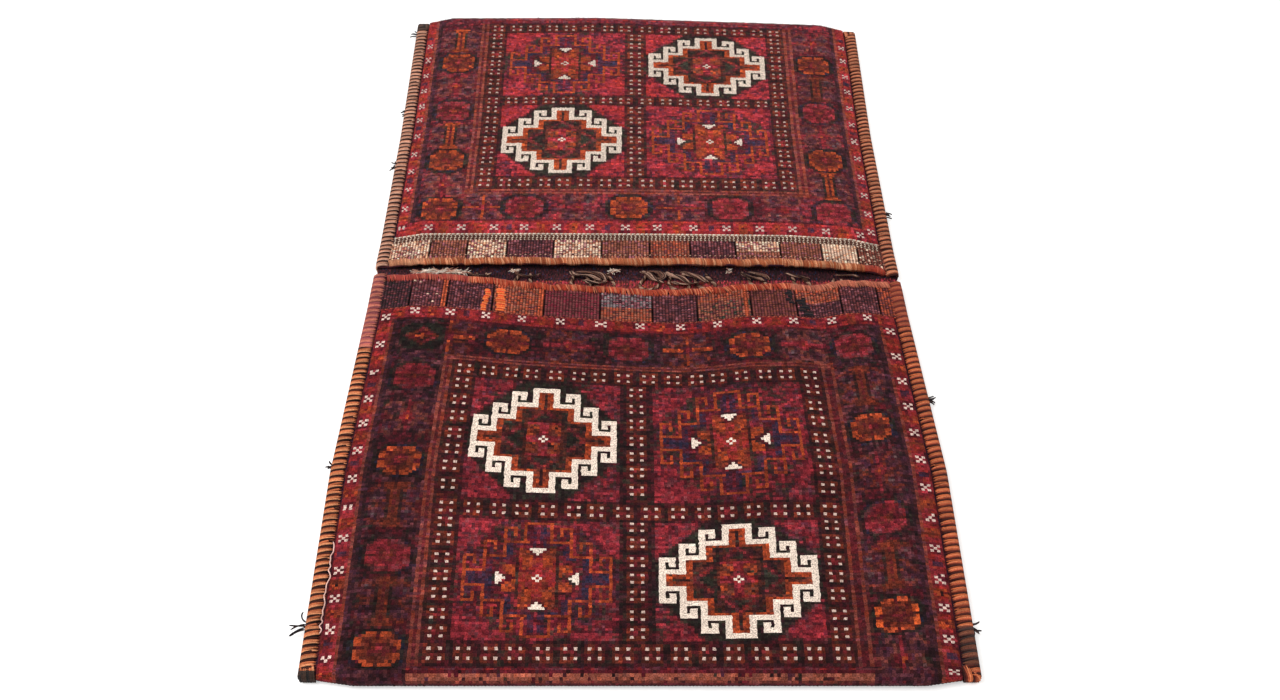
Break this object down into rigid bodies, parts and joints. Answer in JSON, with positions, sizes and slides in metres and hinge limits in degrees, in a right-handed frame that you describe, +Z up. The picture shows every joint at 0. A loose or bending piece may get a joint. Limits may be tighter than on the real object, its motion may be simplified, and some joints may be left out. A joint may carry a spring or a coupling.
{
  "type": "kilim saddle bag",
  "caption": "Woven double saddle bag laid flat: one long strip folded into two pockets with knotted pile fronts, overcast seams and mouth loops.",
  "frame": {"origin": "middle of the bag's box, on the surface that it lies on", "axes": "+Y from the near pocket's fold to the far pocket's fold, +X across the bag, +Z up out of the pile"},
  "size_m": [0.7816, 1.2918, 0.025],
  "materials": {
    "woven_cloth": "hand-knotted wool pile with flat-woven bands, crimson, dark purple, ivory and orange",
    "side_yarn": "thick overcast wool yarn, orange and black-brown turns",
    "far_mouth_yarn": "overcast wool yarn, tan orange",
    "near_mouth_yarn": "overcast wool yarn, orange red",
    "bright_yarn": "bright orange darning wool",
    "dark_yarn": "black-brown darning wool",
    "loop_yarn": "braided brown and grey wool"
  },
  "bodies": {
    "root": {"woven_cloth": "woven_cloth", "far_left_binding": "side_yarn", "far_right_binding": "side_yarn", "near_left_binding": "side_yarn", "near_right_binding": "side_yarn", "far_mouth_binding": "far_mouth_yarn", "near_mouth_binding": "near_mouth_yarn", "closure_loop_01": "loop_yarn", "closure_loop_02": "loop_yarn", "closure_loop_03": "loop_yarn", "closure_loop_04": "loop_yarn", "closure_loop_05": "loop_yarn", "closure_loop_06": "loop_yarn", "closure_loop_07": "loop_yarn", "closure_loop_08": "loop_yarn", "closure_loop_09": "loop_yarn", "closure_loop_10": "loop_yarn", "bright_mend_left": "bright_yarn", "bright_mend_right": "bright_yarn", "dark_mend_left": "dark_yarn", "dark_mend_right": "dark_yarn"}
  },
  "joints": []
}
